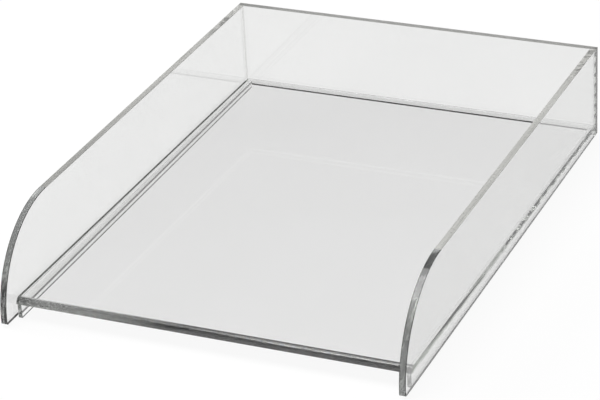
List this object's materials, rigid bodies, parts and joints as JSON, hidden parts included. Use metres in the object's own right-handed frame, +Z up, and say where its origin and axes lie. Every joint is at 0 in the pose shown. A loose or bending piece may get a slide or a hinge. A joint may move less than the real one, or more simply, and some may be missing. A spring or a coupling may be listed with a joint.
{
  "type": "letter tray",
  "caption": "Clear acrylic desk tray for paper: swept side walls, a back wall and a raised floor, falling to the back, on runners that nest in the tray below.",
  "frame": {"origin": "on the desk, under the middle of the tray's width and depth", "axes": "+Z up, +X to the right seen from the front, the open front towards -Y"},
  "size_m": [0.247, 0.339, 0.0615],
  "materials": {
    "clear_acrylic": "clear polished sheet with polished edges"
  },
  "bodies": {
    "root": {"left_wall": "clear_acrylic", "right_wall": "clear_acrylic", "back_wall": "clear_acrylic", "floor_panel": "clear_acrylic", "left_runner": "clear_acrylic", "right_runner": "clear_acrylic"}
  },
  "joints": []
}
